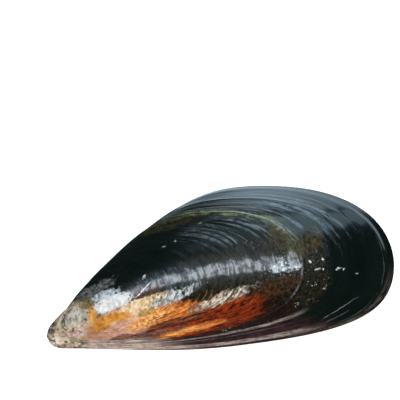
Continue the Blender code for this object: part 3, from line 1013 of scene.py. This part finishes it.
        looks |= {"Coat Roughness": 0.10, "Coat IOR": 1.5, "Specular IOR Level": 0.22}
        t.end(t.surface(looks))


@dataclass(frozen=True)
class PearlLining:
    """The inside of a valve: smooth blue-white pearl with a faint sheen of colour."""

    name: str = "pearl_lining"

    def build(self) -> bpy.types.Material:
        """Makes the material.

        Returns:
            The material. It reads the piece's growth_map and shell_place.
        """
        material, t = new_material(self.name)
        place = t.value("ShaderNodeAttribute", {"attribute_name": "shell_place"}, output="Vector")
        cloud = t.noise(place, scale=7.0, detail=3.0)
        tone = t.mix(cloud.rise(0.35, 0.65), tint((196, 204, 216)), tint((232, 226, 224)))
        _, age, _ = t.parts(t.value("ShaderNodeUVMap", {"uv_map": "growth_map"}))
        tone = t.mix(age.rise(0.90, 0.99), tone, tint((34, 36, 58)))
        normal = t.bumped(t.noise(place, scale=60.0, detail=3.0), 0.0002, 0.4)
        looks = {"Base Color": tone, "Roughness": 0.22 + 0.1 * cloud, "Normal": normal}
        t.end(t.surface(looks))
        return material


@dataclass(frozen=True)
class LigamentHorn:
    """The ligament: dark brown springy horn with fine lines along it."""

    name: str = "ligament_horn"

    def build(self) -> bpy.types.Material:
        """Makes the material.

        Returns:
            The material. It reads the strip's own map: along it, then round it.
        """
        material, t = new_material(self.name)
        along, around, _ = t.parts(t.value("ShaderNodeUVMap", {"uv_map": "strip_map"}))
        grain = t.noise(t.vector(along * 6.0, around * 40.0, 0.0), detail=3.0)
        rungs = t.noise(t.vector(along * 160.0, around * 3.0, 4.0), detail=2.0)
        tone = t.mix(grain.rise(0.3, 0.7), tint((38, 22, 12)), tint((104, 66, 34)))
        tone = t.mix(rungs.rise(0.55, 0.75) * 0.5, tone, tint((150, 110, 66)))
        normal = t.bumped(grain * 0.6 + rungs * 0.7, 0.00006, 0.8)
        looks = {"Base Color": tone, "Roughness": 0.34 + 0.2 * rungs, "Normal": normal}
        t.end(t.surface(looks))
        return material


@dataclass
class Valve:
    """One valve, grown by the Geometry Nodes tree and laid in its place."""

    side: Side
    rule: GrowthRule
    place: RestingPlace
    tree: GrowthTree
    skin: ValveSkin
    lining: bpy.types.Material
    seed: float
    sharp_angle: float = math.radians(50.0)
    piece: bpy.types.Object | None = None

    @property
    def node(self) -> str:
        """The CAD node that this valve stands for."""
        return "left_valve" if self.side is Side.LEFT else "right_valve"

    def build(self, group: bpy.types.NodeTree) -> bpy.types.Object:
        """Grows the valve and gives it its skin.

        Args:
            group: The growth tree.

        Returns:
            The finished piece.
        """
        outline = self.rule.outline()
        mesh = bpy.data.meshes.new("margin")
        ring = [(i, (i + 1) % len(outline)) for i in range(len(outline))]
        mesh.from_pydata([(x, y, 0.0) for x, y in outline], ring, [])
        line = put("margin", mesh)
        grow = line.modifiers.new("growth", "NODES")
        grow.node_group = group
        inputs = {item.name: item.identifier for item in group.interface.items_tree if item.in_out == "INPUT"}
        numbers = self.tree.numbers() | {"Side": float(self.side.value), "Seed": self.seed}
        for name, value in (numbers | {"Skin": self.skin.build(), "Lining": self.lining}).items():
            grow[inputs[name]] = value
        grown = bpy.data.meshes.new_from_object(line.evaluated_get(bpy.context.evaluated_depsgraph_get()))
        line.modifiers.clear()
        bpy.data.objects.remove(line)
        grown.transform(self.place.matrix())
        self.wear_flat(grown)
        grown.name = f"{self.node}_skin"
        grown.shade_smooth()
        grown.set_sharp_from_angle(angle=self.sharp_angle)
        self.piece = put(f"{self.node}_skin", grown)
        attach(self.piece, "root")
        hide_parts(self.node)
        log.info("%s: %d faces", self.piece.name, len(grown.polygons))
        return self.piece

    def wear_flat(self, mesh: bpy.types.Mesh) -> None:
        """Levels the lowest part of the lower valve at the ground.

        Args:
            mesh: The valve's mesh, in place.
        """
        points = np.empty(len(mesh.vertices) * 3, np.float32)
        mesh.vertices.foreach_get("co", points)
        points[2::3] = np.maximum(points[2::3], 0.0)
        mesh.vertices.foreach_set("co", points)


@dataclass
class Ligament:
    """The springy band between the valves along the hinge side.

    A ripple is a height, a pace along the band and a start. The fill is how much of the gap the band takes.
    """

    rule: GrowthRule
    place: RestingPlace
    horn: LigamentHorn
    width: float = 0.0015
    proud: float = 0.00025
    clearance: float = 0.00030
    stretch: tuple[float, float] = (0.075, 0.405)
    end_share: float = 0.02
    end_width: float = 0.45
    ripples: tuple[tuple[float, float, float], ...] = ((0.03, 310.0, 0.0), (0.02, 97.0, 1.0))
    fill: float = 0.97
    sharp_angle: float = math.radians(60.0)
    stations: int = 160
    sides: int = 28

    def path(self) -> np.ndarray:
        """The stretch of the margin that the band follows.

        Returns:
            Its points from the beaks back, in shares of the length.
        """
        outline = self.rule.outline()
        x, y = outline[:, 0], outline[:, 1]
        slope, start = self.rule.hinge_line
        low, high = self.stretch
        run = outline[(y > slope * x + start) & (x > low) & (x < high)]
        return self.rule.spaced(run[np.argsort(run[:, 0])], np.linspace(0.0, 1.0, self.stations))

    def points(self) -> list[tuple[float, float, float]]:
        """The band's surface, with fine cross ridges and rounded ends.

        Returns:
            A ring of points at each station, in the shell frame and in metres.
        """
        path = self.path() * self.rule.length
        half = self.rule.join_gap / 2.0 + self.rule.ligament_gape - self.clearance
        tangents = np.gradient(path, axis=0)
        tangents /= np.linalg.norm(tangents, axis=1, keepdims=True)
        points: list[tuple[float, float, float]] = []
        for i, (centre, tangent) in enumerate(zip(path, tangents)):
            outward = np.array([-tangent[1], tangent[0]])
            share = i / (self.stations - 1)
            taper = self.end_width + (1.0 - self.end_width) * math.sin(math.pi * share) ** 0.5
            near_end = 1.0 - min(share, 1.0 - share, self.end_share) / self.end_share
            cap = math.sqrt(max(1e-4, 1.0 - near_end**2))
            ripple = 1.0 + sum(rise * math.sin(share * pace + start) for rise, pace, start in self.ripples)
            size = taper * cap * ripple
            for j in range(self.sides):
                turn = 2.0 * math.pi * j / self.sides
                offset = self.proud - self.width / 2.0 * (1.0 - math.cos(turn) * cap) * taper
                spot = centre + outward * offset
                points.append((spot[0], spot[1], half * size * math.sin(turn) * self.fill))
        return points

    def build(self) -> bpy.types.Object:
        """Makes the band.

        Returns:
            The finished piece.
        """
        points = self.points()
        faces: list[tuple[int, ...]] = []
        for i in range(self.stations - 1):
            a, b = i * self.sides, (i + 1) * self.sides
            for j in range(self.sides):
                k = (j + 1) % self.sides
                faces.append((a + j, a + k, b + k, b + j))
        faces.append(tuple(range(self.sides))[::-1])
        faces.append(tuple(range(len(points) - self.sides, len(points))))
        mesh = bpy.data.meshes.new("ligament_band")
        mesh.from_pydata(points, [], faces)
        strip = mesh.uv_layers.new(name="strip_map")
        for polygon in mesh.polygons:
            for corner in polygon.loop_indices:
                i, j = divmod(mesh.loops[corner].vertex_index, self.sides)
                wrapped = self.sides if j == 0 and polygon.index % self.sides == self.sides - 1 else j
                strip.data[corner].uv = (i / (self.stations - 1), wrapped / self.sides)
        mesh.transform(self.place.matrix())
        mesh.materials.append(self.horn.build())
        mesh.shade_smooth()
        mesh.set_sharp_from_angle(angle=self.sharp_angle)
        piece = put("ligament_band", mesh)
        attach(piece, "root")
        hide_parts("ligament")
        log.info("%s: %d faces", piece.name, len(mesh.polygons))
        return piece


@dataclass(frozen=True)
class Eye:
    """The photograph's view of the shell: how far it leans, and where the tip and the hind end fall."""

    rule: GrowthRule
    rest: RestingPlace
    tilt: float = math.radians(14.0)
    tip: tuple[float, float] = (47.5, 338.0)
    hind: tuple[float, float] = (395.0, 268.0)
    picture: float = 400.0
    distance: float = 0.80
    sensor: float = 36.0

    @property
    def scale(self) -> float:
        """How many metres of the shell one dot of the picture shows."""
        return self.rule.length / math.dist(self.tip, self.hind)

    def axes(self) -> tuple[Vector, Vector, Vector]:
        """The picture's directions in the row frame.

        Returns:
            Right, up and towards the camera.
        """
        run = Vector((self.hind[0] - self.tip[0], self.tip[1] - self.hind[1])).normalized()
        across = Vector((0.0, math.cos(self.tilt), math.sin(self.tilt)))
        length = Vector((1.0, 0.0, 0.0))
        back = Vector((0.0, -math.sin(self.tilt), math.cos(self.tilt)))
        right = run.x * length - run.y * across
        up = run.y * length + run.x * across
        turn = self.rest.matrix().to_3x3()
        return turn @ right, turn @ up, turn @ back

    def centre(self) -> Vector:
        """The point in the row frame that the middle of the picture looks at.

        Returns:
            The point.
        """
        right, up, _ = self.axes()
        middle = self.picture / 2.0
        step = right * (middle - self.tip[0]) + up * (self.tip[1] - middle)
        return self.rest.matrix().translation + step * self.scale

    def spot(self, x: float, y: float) -> Vector:
        """The point of the floor that shows at a place in the picture.

        Args:
            x: The place's distance from the picture's left edge, in its own dots.
            y: Its distance from the top edge.

        Returns:
            The point.
        """
        right, up, back = self.axes()
        middle = self.picture / 2.0
        start = self.centre() + back * self.distance
        ray = (right * (x - middle) + up * (middle - y)) * self.scale - back * self.distance
        return start - ray * (start.z / ray.z)

    def place(self) -> None:
        """Puts the camera in place."""
        right, up, back = self.axes()
        lens = bpy.data.cameras.new("eye")
        lens.sensor_width = self.sensor
        lens.lens = self.sensor * self.distance / (self.picture * self.scale)
        lens.clip_start, lens.clip_end = 0.01, 20.0
        camera = put("eye", lens)
        turn = Matrix((right, up, back)).transposed().to_4x4()
        camera.matrix_world = Matrix.Translation(self.centre() + back * self.distance) @ turn
        bpy.context.scene.camera = camera


@dataclass(frozen=True)
class Lamp:
    """A soft rectangular light that faces the shell, in metres, degrees and watts.

    It hangs to the right of the camera and above it, seen from the shell. Its size is its width and height.
    """

    name: str
    right: float
    above: float
    distance: float
    size: tuple[float, float]
    power: float
    colour: tuple[float, float, float]
    mirrored: bool = True


LAMPS = (
    Lamp("window", -8.0, 31.0, 0.50, (0.70, 0.14), 2.8, (0.80, 0.90, 1.0)),
    Lamp("backdrop", 39.0, 74.0, 0.50, (0.44, 0.22), 0.42, (0.60, 0.86, 1.0)),
    Lamp("fill", 0.0, -40.0, 0.60, (0.80, 0.50), 4.5, (1.0, 0.97, 0.93), mirrored=False),
)


@dataclass
class Studio:
    """The floor, the white card and the lights.

    The card's edge and fade are places in the picture, in its dots. Each pair of tones starts with the darker
    one. The paper glows, and the room is pale, only where the camera looks at them.
    """

    eye: Eye
    floor_half: float = 3.0
    below_shell: float = 0.00005
    above_floor: float = 0.0002
    card_edge: tuple[tuple[float, float], ...] = (
        (150, 205), (206, 184), (300, 184), (352, 200), (430, 232), (640, 120), (520, -320), (0, -320),
    )
    card_fade: tuple[tuple[float, float], tuple[float, float]] = ((130, 150), (236, 172))
    card_tones: tuple[Colour, Colour] = ((0.05, 0.055, 0.06, 1.0), (1.10, 1.45, 1.72, 1.0))
    paper_tones: tuple[Colour, Colour] = ((0.90, 0.90, 0.90, 1.0), (0.93, 0.93, 0.93, 1.0))
    paper_glow: tuple[Colour, Colour] = ((0.0, 0.0, 0.0, 1.0), (0.55, 0.55, 0.55, 1.0))
    paper_mirrored: Colour = (0.065, 0.070, 0.075, 1.0)
    room_tones: tuple[Colour, Colour] = ((0.028, 0.032, 0.036, 1.0), (0.95, 0.95, 0.95, 1.0))

    def hang(self, lamp: Lamp) -> None:
        """Hangs a light.

        Args:
            lamp: The light.
        """
        right, up, back = self.eye.axes()
        lift, turn = math.radians(lamp.above), math.radians(lamp.right)
        level = right * math.sin(turn) + back * math.cos(turn)
        aim = (level * math.cos(lift) + up * math.sin(lift)).normalized()
        side = (right - aim * right.dot(aim)).normalized()
        light = bpy.data.lights.new(lamp.name, "AREA")
        light.shape = "RECTANGLE"
        light.size, light.size_y = lamp.size
        light.energy = lamp.power
        light.color = lamp.colour
        hung = put(lamp.name, light)
        face = Matrix((side, aim.cross(side), aim)).transposed().to_4x4()
        hung.matrix_world = Matrix.Translation((cad_low + cad_high) / 2.0 + aim * lamp.distance) @ face
        hung.visible_camera = False
        hung.visible_glossy = lamp.mirrored

    def stage(
        self, name: str, corners: Sequence[Sequence[float]], material: bpy.types.Material
    ) -> bpy.types.Object:
        """Makes a flat sheet that is not part of the shell.

        Args:
            name: Its name.
            corners: Its corners in the row frame, in order.
            material: What it is made of.

        Returns:
            The sheet.
        """
        mesh = bpy.data.meshes.new(name)
        mesh.from_pydata([tuple(corner) for corner in corners], [], [tuple(range(len(corners)))])
        mesh.materials.append(material)
        sheet = put(name, mesh)
        return sheet

    def card(self) -> None:
        """Lays a white card on the floor behind the hinge side, which only the shell's gloss mirrors."""
        lift = Vector((0.0, 0.0, self.above_floor))
        corners = [self.eye.spot(x, y) + lift for x, y in self.card_edge]
        start, full = (self.eye.spot(x, y) for x, y in self.card_fade)
        way = full - start
        material, t = new_material("white_card")
        x, y, _ = t.parts(t.value("ShaderNodeTexCoord", output="Object"))
        share = ((x - start.x) * way.x + (y - start.y) * way.y) / way.length_squared
        t.end(t.glow(t.mix(share.rise(0.0, 1.0), *self.card_tones)))
        sheet = self.stage("white_card", corners, material)
        sheet.visible_camera = sheet.visible_diffuse = sheet.visible_shadow = False

    def paper(self) -> bpy.types.Material:
        """The floor's pale paper: bright to look at, and calmer where the shell mirrors it.

        Returns:
            The material.
        """
        material, t = new_material("floor_paper")
        grain = t.noise(t.value("ShaderNodeTexCoord", output="Object"), scale=220.0, detail=3.0)
        rays = t.node("ShaderNodeLightPath")
        seen, mirrored = Field(t, rays.outputs["Is Camera Ray"]), Field(t, rays.outputs["Is Glossy Ray"])
        looks = {
            "Base Color": t.mix(grain, *self.paper_tones),
            "Roughness": 0.9,
            "Specular IOR Level": 0.1,
            "Emission Color": t.mix(seen, *self.paper_glow),
            "Emission Strength": 1.0,
        }
        shaders = {0: mirrored, 1: t.surface(looks), 2: t.glow(self.paper_mirrored)}
        t.end(t.value("ShaderNodeMixShader", links=shaders))
        return material

    def world(self) -> None:
        """Fills the room: dim around the shell, pale behind it."""
        world = bpy.data.worlds.new("room")
        bpy.context.scene.world = world
        world.use_nodes = True
        t = Tree(world.node_tree)
        seen = t.value("ShaderNodeLightPath", output="Is Camera Ray")
        tone = t.mix(seen, *self.room_tones)
        room = t.value("ShaderNodeBackground", links={"Color": tone, "Strength": 1.0})
        t.node("ShaderNodeOutputWorld", links={"Surface": room})

    def build(self) -> None:
        """Makes the floor, the room and the lights."""
        half, low = self.floor_half, -self.below_shell
        corners = ((-half, -half, low), (half, -half, low), (half, half, low), (-half, half, low))
        self.stage("floor", corners, self.paper())
        self.card()
        self.world()
        for lamp in LAMPS:
            self.hang(lamp)
        view = bpy.context.scene.view_settings
        view.view_transform = "Standard"
        view.look = "None"


def main() -> None:
    """Builds the shell, then the studio round it."""
    logging.basicConfig(level=logging.INFO, format="%(name)s: %(message)s")
    rule, place = GrowthRule(), RestingPlace()
    tree = GrowthTree(rule)
    group = tree.build()
    lining = PearlLining().build()
    layer, oval = layer_group(), oval_group()
    for side, seed in ((Side.LEFT, 0.0), (Side.RIGHT, 23.0)):
        skin = ValveSkin(f"{side.name.lower()}_valve_skin", layer, oval, seed)
        Valve(side, rule, place, tree, skin, lining, seed).build(group)
    Ligament(rule, place, LigamentHorn()).build()
    eye = Eye(rule, place)
    Studio(eye).build()
    eye.place()


if __name__ == "__main__":
    main()
